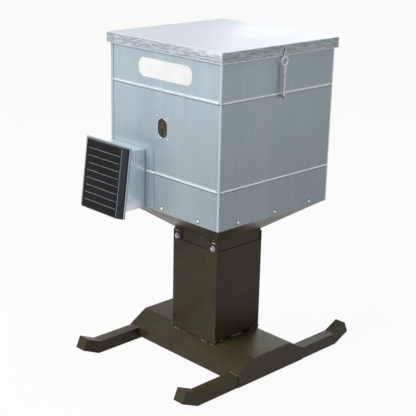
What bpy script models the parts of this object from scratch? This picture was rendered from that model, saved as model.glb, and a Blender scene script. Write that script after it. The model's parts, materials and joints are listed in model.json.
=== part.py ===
"""Spin cast feeder on skids, as separate pieces. A Blender 4.5 script: metres, +Z up.

The column's axis stands at X = 0 of the feeder's own empty. -Y is the front, with the sight window and
the control box, +X is the side with the latch, and Z = 0 is the ground.
"""

import math

import bmesh
import bpy
from mathutils import Matrix, Vector

# Clearances and sheets
GAP = 0.0003            # between two pieces that touch
SHEET = 0.0012          # galvanised sheet
PLATE = 0.003           # painted steel of the stand
FIT = 0.0004            # round a screw or pin in its hole

# Skids
SKID_SPAN = 0.654       # over the outer faces of the two skids
SKID_TUBE = 0.0508      # square tube
SKID_FLAT = 0.405       # half the length that lies on the ground
SKID_STUB = 0.084       # length of each upturned end, along its sole
SKID_RISE = math.radians(24.5)
CAP_THICKNESS = 0.003

# Base channel
BASE_TOP = 0.1015
BASE_TOP_HALF = 0.106
BASE_FOOT_HALF = 0.190
BASE_FOOT_TOP = 0.052
BASE_LIP_BOTTOM = 0.014
END_PLATE_BOTTOM = 0.0005

# Column
COLUMN_HALF = 0.127
COLUMN_TOP = 0.489
NOTCH_HEIGHT = 0.007
FRONT_NOTCHES = ((-0.029, 0.036), (0.089, 0.115))
SIDE_NOTCHES = ((-0.078, -0.043), (0.034, 0.070))
EAR_TOP = 0.528
EAR_WIDTH = 0.047
EAR_BOLT_INSET = 0.023
EAR_BOLT_HEIGHT = 0.501
MOUTH_HALF = 0.090
MOUTH_BOTTOM = 0.395
MOUTH_TOP = 0.465

# Funnel, neck and outlet
NECK_BOTTOM = 0.475
NECK_TOP = 0.535
FUNNEL_WALL = 0.002
SKIRT_HEIGHT = 0.032
OUTLET_HALF = 0.030
OUTLET_THROAT = 0.474
OUTLET_BOTTOM = 0.440

# Hopper
HOPPER_HALF = 0.3048
HOPPER_BOTTOM = 0.663
LID_TOP = 1.320
BEAD_HEIGHTS = (0.813, 1.138)
BEAD_DEPTH = 0.0035
BEAD_HALF_WIDTH = 0.008
BEAD_END = 0.008        # plain sheet between a bead and the corner
BEAD_RUN_OUT = 0.005
SEAM_INSET = 0.018      # from the left corner to the edge of the lapped sheet
LAP = 0.022

# Lid
LID_OVERHANG = 0.0105
RIM_DEPTH = 0.041
HEM_HEIGHT = 0.012
HEM_PROUD = 0.0006
LATCH_HOLE_HEIGHT = 1.301
LATCH_HOLE_RADIUS = 0.0042

# Lid hinge
LID_HINGE_LENGTH = 0.50
LID_HINGE_SEGMENTS = 5
HINGE_BARREL = 0.0035
HINGE_PIN = 0.0018
LEAF = 0.0012
LEAF_INSET = 0.0003      # of a leaf's face behind the barrel's outside
LID_LEAF_HEIGHT = 0.026
WALL_LEAF_HEIGHT = 0.045

# Latch
LATCH_Y = 0.005
LATCH_ANCHOR_HEIGHT = 1.124
LATCH_STANDOFF = 0.0145  # from the hopper's wall to the latch's middle plane
ANCHOR_PIN = 0.0022
EAR_HALF = 0.0042
EYE_RADIUS = 0.0064
EYE_HALF = 0.0022
RING_RADIUS = 0.0155
RING_WIRE = 0.0022
RING_HEIGHT = 1.260
SPRING_RADIUS = 0.0058
SPRING_WALL = 0.0014
HOOK_WIRE = 0.0018

# Sight window
WINDOW_HEIGHT = 0.995
WINDOW_WIDTH = 0.053
WINDOW_LENGTH = 0.077
WINDOW_SCREW_X = 0.028
WINDOW_SCREW_Z = 0.042
PANE_MARGIN = 0.009
PANE = 0.003

# Control box, in the hopper's front face
BOX_WIDTH = 0.2078      # from the hopper's left side
BOX_BOTTOM = 0.6632
BOX_TOP = 0.897
BOX_TOP_DEPTH = 0.0768
FLANGE_WIDTH = 0.050
FLANGE_BOTTOM = 0.665
FLANGE_TOP = 0.908
BOX_SLANT = math.radians(7.36)

# Control box door and its solar panel, in the slanted plane of the door
DOOR_PAST_LEFT = 0.0572     # beyond the box
DOOR_PAST_RIGHT = 0.0025
DOOR_BELOW = 0.030      # beyond the box, along the slant
DOOR_ABOVE = 0.014
DOOR_SHEET = 0.0015
DOOR_DEPTH = 0.008
PANEL_WIDTH = 0.252
PANEL_DEPTH = 0.020
PANEL_SIDE_DEPTH = 0.007
PANEL_RAIL = 0.019
PANEL_END_RAIL = 0.005
PANEL_INSET = 0.004
PANEL_RIGHT_MARGIN = 0.004
GLASS = 0.0015
DOOR_HINGE_LENGTH = 0.200
DOOR_LEAF = 0.024

# Inside the control box
BATTERY = (0.151, 0.062, 0.094)
BATTERY_SIDE_ROOM = 0.012
TIMER = (0.130, 0.032, 0.076)
TIMER_BOTTOM = 0.800
BUTTON_RADIUS = 0.0045
BUTTON_PROUD = 0.0022
BUTTON_TRAVEL = 0.0012
BUTTON_COUNT = 4
BUTTON_PITCH = 0.024

# Motor and spinner
SPINNER_HEIGHT = 0.412
SPINNER_RADIUS = 0.098
SPINNER_SHEET = 0.002
FIN_COUNT = 4
FIN_HEIGHT = 0.014
FIN_START = 0.046
HOUSING_RADIUS = 0.115
HOUSING_HEIGHT = 0.060
HOUSING_OPEN_ANGLE = math.radians(100)
SHAFT_RADIUS = 0.003
MOTOR_RADIUS = 0.021
MOTOR_LENGTH = 0.066
BRACKET_HEIGHT = 0.388
BRACKET_WIDTH = 0.060
BRACKET_FLANGE = 0.030

# Worked out from the sizes above
SKID_OUTER = SKID_SPAN / 2 - PLATE - GAP
COLUMN_INNER = COLUMN_HALF - PLATE
NECK_HALF = COLUMN_INNER - GAP
HOPPER_INNER = HOPPER_HALF - SHEET
HOPPER_TOP = LID_TOP - SHEET - GAP
SKIRT_HALF = HOPPER_INNER - SHEET - 2 * GAP
LID_HALF = HOPPER_HALF + LID_OVERHANG
LID_BOTTOM = LID_TOP - RIM_DEPTH
LATCH_X = HOPPER_HALF + LATCH_STANDOFF
SLANT = math.tan(BOX_SLANT)
DOOR_HINGE_X = -HOPPER_HALF - GAP - HINGE_BARREL
BOX_RIGHT = BOX_WIDTH - HOPPER_HALF
FLANGE_RIGHT = BOX_RIGHT + FLANGE_WIDTH
DOOR_LEFT = -HOPPER_HALF - DOOR_PAST_LEFT
DOOR_RIGHT = BOX_RIGHT + DOOR_PAST_RIGHT
RIGHT_REACH = max(SKID_SPAN / 2, LATCH_X + RING_WIRE)
ORIGIN_SHIFT = -(DOOR_LEFT + RIGHT_REACH) / 2

PLANES = {
    "XY": Matrix.Identity(3),
    "XZ": Matrix.Rotation(math.pi / 2, 3, "X"),
    "YZ": Matrix(((0, 0, 1), (1, 0, 0), (0, 1, 0))),
}
ALONG = {
    "X": Matrix.Rotation(math.pi / 2, 4, "Y"),
    "Y": Matrix.Rotation(-math.pi / 2, 4, "X"),
    "Z": Matrix.Identity(4),
}


# ---------------------------------------------------------------- scene and materials

def clear_scene():
    for old in list(bpy.data.objects):
        bpy.data.objects.remove(old, do_unlink=True)


def new_collection(name):
    collection = bpy.data.collections.new(name)
    bpy.context.scene.collection.children.link(collection)
    return collection


def material(name, colour, roughness, metallic):
    made = bpy.data.materials.new(name)
    made.use_nodes = True
    shader = made.node_tree.nodes["Principled BSDF"]
    shader.inputs["Base Color"].default_value = (*colour, 1)
    shader.inputs["Roughness"].default_value = roughness
    shader.inputs["Metallic"].default_value = metallic
    return made


def pivot(name, location, parent=None, rotation=(0, 0, 0)):
    """An empty that carries pieces: the whole feeder, or one moving body at its joint."""
    empty = bpy.data.objects.new(name, None)
    empty.location = location
    empty.rotation_euler = rotation
    empty.parent = parent
    PARTS.objects.link(empty)
    return empty


# ---------------------------------------------------------------- shapes

def finish_mesh(name, shape, parent, look, smooth=False):
    """Makes an object of a bmesh, with its faces pointing out."""
    bmesh.ops.recalc_face_normals(shape, faces=shape.faces)
    if shape.calc_volume(signed=True) < 0:
        bmesh.ops.reverse_faces(shape, faces=shape.faces)
    mesh = bpy.data.meshes.new(name)
    shape.to_mesh(mesh)
    shape.free()
    return finish_object(name, mesh, parent, look, smooth)


def finish_object(name, mesh, parent, look, smooth=False):
    made = bpy.data.objects.new(name, mesh)
    made.parent = parent
    if look:
        mesh.materials.append(look)
        PARTS.objects.link(made)
    else:
        CUTTERS.objects.link(made)
        made.hide_render = True
        made.display_type = "WIRE"
    if smooth:
        mesh.shade_smooth()
        mesh.set_sharp_from_angle(angle=math.radians(35))
    return made


def box(name, low, high, parent, look=None):
    """A block between two corners."""
    low, high = Vector(low), Vector(high)
    shape = bmesh.new()
    bmesh.ops.create_cube(shape, size=1)
    scale = Matrix.Diagonal((*(high - low), 1))
    shape.transform(Matrix.Translation((low + high) / 2) @ scale)
    return finish_mesh(name, shape, parent, look)


def cylinder(name, centre, radius, length, along, parent, look=None, sides=24):
    """A round bar whose middle is at the centre."""
    shape = bmesh.new()
    bmesh.ops.create_cone(shape, cap_ends=True, segments=sides, radius1=radius, radius2=radius, depth=length)
    shape.transform(Matrix.Translation(centre) @ ALONG[along])
    return finish_mesh(name, shape, parent, look, smooth=True)


def outlined(name, outline, plane, low, high, parent, look=None):
    """A flat outline given thickness from low to high along the plane's normal."""
    curve = bpy.data.curves.new(name, "CURVE")
    curve.dimensions = "2D"
    curve.fill_mode = "BOTH"
    curve.extrude = (high - low) / 2
    spline = curve.splines.new("POLY")
    spline.points.add(len(outline) - 1)
    for point, (across, up) in zip(spline.points, outline):
        point.co = (across, up, 0, 1)
    spline.use_cyclic_u = True
    drawn = bpy.data.objects.new(name, curve)
    bpy.context.scene.collection.objects.link(drawn)
    graph = bpy.context.evaluated_depsgraph_get()
    graph.update()
    mesh = bpy.data.meshes.new_from_object(drawn.evaluated_get(graph))
    bpy.data.objects.remove(drawn)
    shape = bmesh.new()
    shape.from_mesh(mesh)
    bpy.data.meshes.remove(mesh)
    bmesh.ops.remove_doubles(shape, verts=shape.verts, dist=2e-5)
    turn = PLANES[plane]
    normal = Vector([abs(part) for part in turn.col[2]])
    shape.transform(Matrix.Translation(normal * (low + high) / 2) @ turn.to_4x4())
    return finish_mesh(name, shape, parent, look)


def turned(name, profile, parent, look=None, sides=24, square=False, closed=False):
    """A profile of (radius, height) points turned about Z. A square one has its corners on the diagonals."""
    doubled_area = sum(a[0] * b[1] - b[0] * a[1] for a, b in zip(profile, [*profile[1:], profile[0]]))
    ordered = profile if doubled_area < 0 else profile[::-1]
    points = [(radius, radius if square else 0, height) for radius, height in ordered]
    edges = [(index, index + 1) for index in range(len(points) - 1)]
    if closed:
        edges.append((len(points) - 1, 0))
    mesh = bpy.data.meshes.new(name)
    mesh.from_pydata(points, edges, [])
    made = finish_object(name, mesh, parent, look)
    screw = made.modifiers.new("turn", "SCREW")
    screw.steps = screw.render_steps = 4 if square else sides
    screw.use_merge_vertices = True
    screw.merge_threshold = 1e-5
    screw.use_smooth_shade = not square
    return made


def lofted_sheet(name, rows, parent, look, thickness):
    """A sheet through rows of points, whose thickness lies behind its outer face."""
    shape = bmesh.new()
    grid = [[shape.verts.new(point) for point in row] for row in rows]
    for lower, upper in zip(grid, grid[1:]):
        for corner in range(len(lower) - 1):
            shape.faces.new((lower[corner], lower[corner + 1], upper[corner + 1], upper[corner]))
    mesh = bpy.data.meshes.new(name)
    shape.to_mesh(mesh)
    shape.free()
    made = finish_object(name, mesh, parent, look, smooth=True)
    solid = made.modifiers.new("sheet", "SOLIDIFY")
    solid.thickness = thickness
    solid.offset = -1
    solid.use_even_offset = True
    return made


def combine(target, operation, tools):
    for tool in tools:
        step = target.modifiers.new(tool.name, "BOOLEAN")
        step.operation = operation
        step.object = tool
    return target


def cut(target, *tools):
    return combine(target, "DIFFERENCE", tools)


def join(target, *tools):
    return combine(target, "UNION", tools)


def bevel(made, width, segments=1):
    rounding = made.modifiers.new("edges", "BEVEL")
    rounding.width = width
    rounding.segments = segments
    rounding.limit_method = "ANGLE"
    rounding.angle_limit = math.radians(40)
    return made


def stadium(centre, width, length, steps=8):
    """An upright outline with round ends."""
    radius = width / 2
    reach = length / 2 - radius
    points = []
    for end, start_angle in ((reach, 0), (-reach, math.pi)):
        for step in range(steps + 1):
            angle = start_angle + math.pi * step / steps
            points.append((centre[0] + radius * math.cos(angle), centre[1] + end + radius * math.sin(angle)))
    return points


def hinge(prefix, length, segments, leaves, parents, turn, looks):
    """Two leaves on one pin along Z. Each leaf is (low, high) corners in X and Y; both touch the barrel.

    The first leaf holds the even knuckles, counted from 1, and the second the odd ones.
    """
    made = []
    knuckle = length / segments
    for order, (label, leaf) in enumerate(leaves):
        parent = parents[order]
        (x_low, y_low), (x_high, y_high) = leaf
        name = f"{prefix}_{label}"
        body = box(name, (x_low, y_low, -length / 2), (x_high, y_high, length / 2), parent, looks)
        pieces = [body]
        for index in range(segments):
            middle = -length / 2 + knuckle * (index + 0.5)
            if index % 2 == order:
                relief = HINGE_BARREL + FIT
                room = box(f"{name}_relief_{index}", (-relief, -relief, middle - knuckle / 2 - GAP / 2),
                           (relief, relief, middle + knuckle / 2 + GAP / 2), parent)
                cut(body, room)
            else:
                barrel = cylinder(f"{name}_barrel_{index}", (0, 0, middle), HINGE_BARREL, knuckle - GAP,
                                  "Z", parent, sides=16)
                join(body, barrel)
        bore = cylinder(f"{name}_bore", (0, 0, 0), HINGE_PIN + FIT, length * 1.1, "Z", parent, sides=12)
        cut(body, bore)
        pieces.append(bore)
        for modifier in body.modifiers:
            pieces.append(modifier.object)
        for piece in {item.name: item for item in pieces}.values():
            piece.data.transform(turn)
        made.append(body)
    pin = cylinder(f"{prefix}_pin", (0, 0, 0), HINGE_PIN, length, "Z", parents[0], looks, sides=12)
    pin.data.transform(turn)
    made.append(pin)
    return made


# ---------------------------------------------------------------- stand

def skid_outline(inset, reach):
    """Side view of one skid. The inset makes its bore, and reach lengthens its ends."""
    top = SKID_TUBE - inset
    half_turn = math.tan(SKID_RISE / 2)
    along = Vector((math.cos(SKID_RISE), math.sin(SKID_RISE)))
    across = Vector((-math.sin(SKID_RISE), math.cos(SKID_RISE)))
    heel = Vector((SKID_FLAT, 0))
    sole_bend = heel + Vector((-inset * half_turn, inset))
    tip = heel + along * (SKID_STUB + reach)
    sole_tip = tip + across * inset
    top_tip = tip + across * top
    top_bend = Vector((SKID_FLAT - top * half_turn, top))
    right = [sole_bend, sole_tip, top_tip, top_bend]
    left = [Vector((-point.x, point.y)) for point in reversed(right)]
    return [tuple(point) for point in right + left]


def build_skids():
    for side, label in ((-1, "left"), (1, "right")):
        outer = side * SKID_OUTER
        inner = side * (SKID_OUTER - SKID_TUBE)
        low, high = min(outer, inner), max(outer, inner)
        skid = outlined(f"skid_{label}", skid_outline(0, 0), "YZ", low, high, FEEDER, PAINT)
        bore = outlined(f"skid_{label}_bore", skid_outline(PLATE, 0.02), "YZ", low + PLATE, high - PLATE, FEEDER)
        cut(skid, bore)
        for front, end in ((-1, "front"), (1, "rear")):
            cap = box(f"skid_cap_{label}_{end}", (-SKID_TUBE / 2, GAP, 0),
                      (SKID_TUBE / 2, GAP + CAP_THICKNESS, SKID_TUBE), FEEDER, PAINT)
            lift = Matrix.Translation((0, SKID_FLAT, 0)) @ Matrix.Rotation(SKID_RISE, 4, "X")
            lift = lift @ Matrix.Translation((0, SKID_STUB, 0))
            if front < 0:
                lift = Matrix.Rotation(math.pi, 4, "Z") @ lift
            cap.data.transform(Matrix.Translation(((low + high) / 2, 0, 0)) @ lift)


def base_outline(inset, lip_bottom):
    """Half section of the bent channel, from the middle outwards and down."""
    fall = math.atan2(BASE_TOP - BASE_FOOT_TOP, BASE_FOOT_HALF - BASE_TOP_HALF)
    shoulder = BASE_TOP_HALF - inset * math.tan(fall / 2)
    foot = BASE_FOOT_HALF - inset
    foot_top = BASE_FOOT_TOP - inset * math.tan((math.pi / 2 - fall) / 2)
    return [(shoulder, BASE_TOP - inset), (foot, foot_top), (foot, lip_bottom)]


def mirrored(half):
    return half + [(-across, up) for across, up in reversed(half)]


def build_base():
    inner_skid = SKID_OUTER - SKID_TUBE
    reach = SKID_SPAN / 2 - PLATE - 2 * GAP
    outer = base_outline(0, BASE_LIP_BOTTOM)
    inner = base_outline(PLATE, BASE_LIP_BOTTOM)
    section = outer + inner[::-1] + [(-across, up) for across, up in inner] + [
        (-across, up) for across, up in reversed(outer)]
    channel = outlined("base_channel", section, "YZ", -reach, reach, FEEDER, PAINT)
    for side, label in ((-1, "left"), (1, "right")):
        low, high = sorted((side * (inner_skid - GAP), side * SKID_SPAN))
        notch = box(f"skid_notch_{label}", (low, -SKID_FLAT, -0.01), (high, SKID_FLAT, SKID_TUBE + GAP), FEEDER)
        cut(channel, notch)
        plate_low, plate_high = sorted((side * (SKID_SPAN / 2 - PLATE), side * SKID_SPAN / 2))
        rim = base_outline(0, END_PLATE_BOTTOM)
        outlined(f"base_end_plate_{label}", mirrored(rim), "YZ", plate_low, plate_high, FEEDER, PAINT)


def build_column():
    walls = [(COLUMN_HALF, EAR_TOP), (COLUMN_HALF, BASE_FOOT_TOP), (COLUMN_INNER, BASE_FOOT_TOP),
             (COLUMN_INNER, EAR_TOP)]
    column = turned("column", walls, FEEDER, PAINT, square=True, closed=True)
    seat_half = [(across + GAP, up + GAP) for across, up in base_outline(0, 0)]
    seat = outlined("column_seat", mirrored(seat_half), "YZ", -COLUMN_HALF * 1.2, COLUMN_HALF * 1.2, FEEDER)
    ear_inner = COLUMN_HALF - EAR_WIDTH
    above = EAR_TOP + 0.01
    between_ears = box("between_ears", (-ear_inner, -COLUMN_HALF * 1.1, COLUMN_TOP),
                       (ear_inner, COLUMN_HALF * 1.1, above), FEEDER)
    sides_low = box("side_trim", (-COLUMN_HALF * 1.1, -COLUMN_INNER, COLUMN_TOP),
                    (COLUMN_HALF * 1.1, COLUMN_INNER, above), FEEDER)
    mouth = box("mouth_cutter", (-MOUTH_HALF, COLUMN_INNER - 0.01, MOUTH_BOTTOM),
                (MOUTH_HALF, COLUMN_HALF + 0.01, MOUTH_TOP), FEEDER)
    cut(column, seat, between_ears, sides_low, mouth, *foot_notches())
    neck = [(NECK_HALF, NECK_TOP), (NECK_HALF, NECK_BOTTOM), (NECK_HALF - PLATE, NECK_BOTTOM),
            (NECK_HALF - PLATE, NECK_TOP)]
    collar = turned("neck_collar", neck, FEEDER, PAINT, square=True, closed=True)
    bolt_x = COLUMN_HALF - EAR_BOLT_INSET
    for side, side_label in ((-1, "left"), (1, "right")):
        for front, end in ((-1, "front"), (1, "rear")):
            label = f"{end}_{side_label}"
            spot = (side * bolt_x, front * COLUMN_HALF, EAR_BOLT_HEIGHT)
            hole = cylinder(f"bolt_hole_{label}", spot, 0.004 + FIT, 0.05, "Y", FEEDER)
            cut(column, hole)
            cut(collar, hole)
            build_column_bolt(f"column_bolt_{label}", spot, front)


def foot_notches():
    """Cutters for the open stretches between the welds at the column's foot."""
    fall = (BASE_TOP - BASE_FOOT_TOP) / (BASE_FOOT_HALF - BASE_TOP_HALF)
    front_top = BASE_TOP - (COLUMN_HALF - BASE_TOP_HALF) * fall + NOTCH_HEIGHT
    side_top = BASE_TOP + NOTCH_HEIGHT
    deep = PLATE * 2
    cutters = []
    for side in (-1, 1):
        low, high = sorted((side * (COLUMN_HALF - deep), side * (COLUMN_HALF + deep)))
        for index, (start, end) in enumerate(FRONT_NOTCHES):
            cutters.append(box(f"front_notch_{side}_{index}", (start, low, BASE_FOOT_TOP),
                               (end, high, front_top), FEEDER))
        for index, (start, end) in enumerate(SIDE_NOTCHES):
            cutters.append(box(f"side_notch_{side}_{index}", (low, start, BASE_FOOT_TOP),
                               (high, end, side_top), FEEDER))
    return cutters


def build_column_bolt(name, spot, front):
    """A flanged hexagon screw: shank inwards, flange and head outwards."""
    flange, head, shank, flange_thick, head_top, shank_end = 0.0115, 0.0075, 0.004, 0.0018, 0.0075, 0.014
    profile = [(0, head_top), (head, head_top), (head + 0.0005, flange_thick), (flange, flange_thick * 0.6),
               (flange, GAP), (shank, GAP), (shank, -shank_end), (0, -shank_end)]
    bolt = turned(name, profile, FEEDER, ZINC, sides=18)
    bolt.location = spot
    bolt.rotation_euler = (math.pi / 2 if front < 0 else -math.pi / 2, 0, 0)


def build_funnel():
    slope = Vector((SKIRT_HALF - NECK_HALF, HOPPER_BOTTOM - NECK_TOP)).normalized()
    drop = FUNNEL_WALL * math.tan((math.pi / 2 - math.atan2(slope.y, slope.x)) / 2)
    skirt_inner = SKIRT_HALF - FUNNEL_WALL
    foot = NECK_TOP + GAP
    inner_foot = NECK_HALF - FUNNEL_WALL / slope.y
    skirt_top = HOPPER_BOTTOM + SKIRT_HEIGHT
    walls = [(SKIRT_HALF, skirt_top), (SKIRT_HALF, HOPPER_BOTTOM), (NECK_HALF, foot), (inner_foot, foot),
             (skirt_inner, HOPPER_BOTTOM + drop), (skirt_inner, skirt_top)]
    turned("funnel", walls, FEEDER, PAINT, square=True, closed=True)
    chute_top = NECK_HALF - PLATE - GAP
    throat = OUTLET_HALF + FUNNEL_WALL
    high = NECK_TOP - 0.006
    chute = [(chute_top, high), (throat, OUTLET_THROAT), (throat, OUTLET_BOTTOM), (OUTLET_HALF, OUTLET_BOTTOM),
             (OUTLET_HALF, OUTLET_THROAT + FUNNEL_WALL), (chute_top - 0.006, high)]
    turned("outlet_chute", chute, FEEDER, PAINT, square=True, closed=True)


# ---------------------------------------------------------------- hopper

def bead_swell(height, along, start, end, bead_height):
    """How far a bead stands out of the sheet at one point."""
    off_centre = abs(height - bead_height) / BEAD_HALF_WIDTH
    if off_centre >= 1:
        return 0
    inside = min(along - start, end - along) / BEAD_RUN_OUT
    run = max(0, min(1, inside))
    return BEAD_DEPTH * run * math.cos(off_centre * math.pi / 2)


def sheet_heights():
    heights = [HOPPER_BOTTOM]
    for bead in BEAD_HEIGHTS:
        heights += [bead + BEAD_HALF_WIDTH * share for share in (-1, -0.6, 0, 0.6, 1)]
    return heights + [HOPPER_TOP]


def wall_points(start, end, outward, beads):
    """One flat wall of a sheet: plan points from start to end, each with what its beads add."""
    start, end, outward = Vector(start), Vector(end), Vector(outward)
    length = (end - start).length
    stops = {0, length}
    for first, last in beads.values():
        stops |= {first, first + BEAD_RUN_OUT, last - BEAD_RUN_OUT, last}
    stops = sorted(stops)

    def point(stop, height):
        swell = sum(bead_swell(height, stop, *span, bead) for bead, span in beads.items())
        place = start + (end - start) * stop / length + outward * swell
        return (place.x, place.y, height)

    return [lambda height, stop=stop: point(stop, height) for stop in stops]


def plain_corner(place):
    return [lambda height: (place[0], place[1], height)]


def build_hopper():
    half = HOPPER_HALF
    width = 2 * half
    full = (BEAD_END, width - BEAD_END)
    seam = -half + SEAM_INSET
    seam_full = (BEAD_END, half - seam - BEAD_END)
    box_end = FLANGE_RIGHT - seam + 0.006
    front_beads = {BEAD_HEIGHTS[0]: (box_end, half - seam - BEAD_END), BEAD_HEIGHTS[1]: seam_full}
    rear_length = half - seam
    rear_beads = {bead: (BEAD_END, rear_length - BEAD_END) for bead in BEAD_HEIGHTS}
    both = {bead: full for bead in BEAD_HEIGHTS}
    columns = wall_points((seam, -half), (half, -half), (0, -1), front_beads)
    columns += wall_points((half, -half), (half, half), (1, 0), both)[1:]
    columns += wall_points((half, half), (seam, half), (0, 1), rear_beads)[1:]
    rows = [[column(height) for column in columns] for height in sheet_heights()]
    wrap = lofted_sheet("hopper_wrap", rows, FEEDER, GALVANISED, SHEET)
    inner = half - SHEET - GAP
    lap_end = seam + LAP
    side_beads = {bead: (BEAD_END, 2 * inner - BEAD_END) for bead in BEAD_HEIGHTS}
    columns = plain_corner((lap_end, inner))
    columns += wall_points((-half, inner), (-half, -inner), (-1, 0), side_beads)
    columns += plain_corner((lap_end, -inner))
    rows = [[column(height) for column in columns] for height in sheet_heights()]
    lofted_sheet("hopper_left_panel", rows, FEEDER, GALVANISED, SHEET)
    window = outlined("window_cutter", stadium((0, WINDOW_HEIGHT), WINDOW_WIDTH, WINDOW_LENGTH), "XZ",
                      -half - 0.02, -half + 0.02, FEEDER)
    cut(wrap, window)
    build_window(wrap)


def build_window(wrap):
    inner = -HOPPER_INNER + GAP
    half_width = WINDOW_SCREW_X + PANE_MARGIN
    half_height = WINDOW_SCREW_Z + PANE_MARGIN
    pane = box("sight_window_pane", (-half_width, inner, WINDOW_HEIGHT - half_height),
               (half_width, inner + PANE, WINDOW_HEIGHT + half_height), FEEDER, CLEAR)
    for side, side_label in ((-1, "left"), (1, "right")):
        for up, up_label in ((-1, "lower"), (1, "upper")):
            label = f"{up_label}_{side_label}"
            spot = (side * WINDOW_SCREW_X, -HOPPER_HALF, WINDOW_HEIGHT + up * WINDOW_SCREW_Z)
            hole = cylinder(f"window_hole_{label}", spot, 0.0018 + FIT, 0.03, "Y", FEEDER, sides=12)
            cut(wrap, hole)
            cut(pane, hole)
            profile = [(0, 0.0022), (0.002, 0.0020), (0.0038, 0.0008), (0.0040, GAP), (0.0018, GAP),
                       (0.0018, -0.009), (0, -0.009)]
            screw = turned(f"window_screw_{label}", profile, FEEDER, ZINC, sides=12)
            screw.location = spot
            screw.rotation_euler = (math.pi / 2, 0, 0)


# ---------------------------------------------------------------- lid and its hinge

def build_lid():
    hinge_x = -(LID_HALF + HEM_PROUD + GAP + HINGE_BARREL)
    hinge_z = LID_BOTTOM - HINGE_BARREL - 0.001
    lid_pivot = pivot("lid_pivot", (hinge_x, 0, hinge_z), FEEDER)
    hem_top = LID_BOTTOM + HEM_HEIGHT
    outer = LID_HALF + HEM_PROUD
    inner = LID_HALF - SHEET
    hem_inner = LID_HALF - SHEET - HEM_PROUD
    pan = [(0, LID_TOP), (LID_HALF - 0.0015, LID_TOP), (LID_HALF, LID_TOP - 0.0015), (LID_HALF, hem_top),
           (outer, hem_top - HEM_PROUD), (outer, LID_BOTTOM), (hem_inner, LID_BOTTOM), (hem_inner, hem_top),
           (inner, hem_top + HEM_PROUD), (inner, LID_TOP - SHEET), (0, LID_TOP - SHEET)]
    lid = turned("lid", pan, lid_pivot, GALVANISED, square=True)
    lid.data.transform(Matrix.Translation((0, 0, -hinge_z)))
    lid.location.x = -hinge_x
    hole = cylinder("latch_hole", (LID_HALF - hinge_x, LATCH_Y, LATCH_HOLE_HEIGHT - hinge_z),
                    LATCH_HOLE_RADIUS, 0.02, "X", lid_pivot)
    cut(lid, hole)
    fixed = pivot("lid_hinge_seat", (hinge_x, 0, hinge_z), FEEDER)
    turn = Matrix.Rotation(-math.pi / 2, 4, "X")
    reach = -HOPPER_HALF - GAP - hinge_x
    # In the hinge's own axes, X is the feeder's X and Y is down.
    wall_leaf = ("wall_leaf", ((reach - LEAF, HINGE_BARREL + 0.006), (reach, WALL_LEAF_HEIGHT)))
    near = HINGE_BARREL - LEAF_INSET
    lid_leaf = ("lid_leaf", ((near - LEAF, -LID_LEAF_HEIGHT), (near, 0)))
    leaves = hinge("lid_hinge", LID_HINGE_LENGTH, LID_HINGE_SEGMENTS, (wall_leaf, lid_leaf),
                   (fixed, lid_pivot), turn, ZINC)
    # The wall leaf steps out from the hopper to the pin.
    step = outlined("lid_hinge_step", [(HINGE_BARREL * -0.2, 0.002), (HINGE_BARREL * 0.8, -0.001),
                                       (reach, HINGE_BARREL + 0.0045), (reach, HINGE_BARREL + 0.008),
                                       (reach - LEAF, HINGE_BARREL + 0.008)],
                    "XY", -LID_HINGE_LENGTH / 2, LID_HINGE_LENGTH / 2, fixed)
    step.data.transform(turn)
    wall = leaves[0]
    joined = wall.modifiers.new("step", "BOOLEAN")
    joined.operation = "UNION"
    joined.object = step
    wall.modifiers.move(len(wall.modifiers) - 1, 0)


# ---------------------------------------------------------------- latch

def build_latch_anchor():
    """Two ears and a cross pin, standing off the wall so that the latch clears the lid's hem."""
    wall = HOPPER_HALF + GAP
    z_low, z_high = LATCH_ANCHOR_HEIGHT - EAR_HALF, LATCH_ANCHOR_HEIGHT + EAR_HALF
    ear_low = EYE_HALF + GAP * 2
    ear_high = ear_low + SHEET
    bracket = box("latch_anchor_bracket", (wall, LATCH_Y - 0.010, z_low - 0.005),
                  (wall + 0.002, LATCH_Y + 0.010, z_high), FEEDER, ZINC)
    pin_hole = cylinder("anchor_pin_hole", (LATCH_X, LATCH_Y, LATCH_ANCHOR_HEIGHT), ANCHOR_PIN + FIT, 0.03, "Y",
                        FEEDER, sides=16)
    for side in (-1, 1):
        low, high = sorted((LATCH_Y + side * ear_low, LATCH_Y + side * ear_high))
        join(bracket, box(f"anchor_ear_{side}", (wall + 0.001, low, z_low), (LATCH_X + EAR_HALF, high, z_high),
                          FEEDER))
    cut(bracket, pin_hole)
    cylinder("latch_anchor_pin", (LATCH_X, LATCH_Y, LATCH_ANCHOR_HEIGHT), ANCHOR_PIN, 2 * ear_high + 0.003, "Y",
             FEEDER, ZINC, sides=16)


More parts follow.
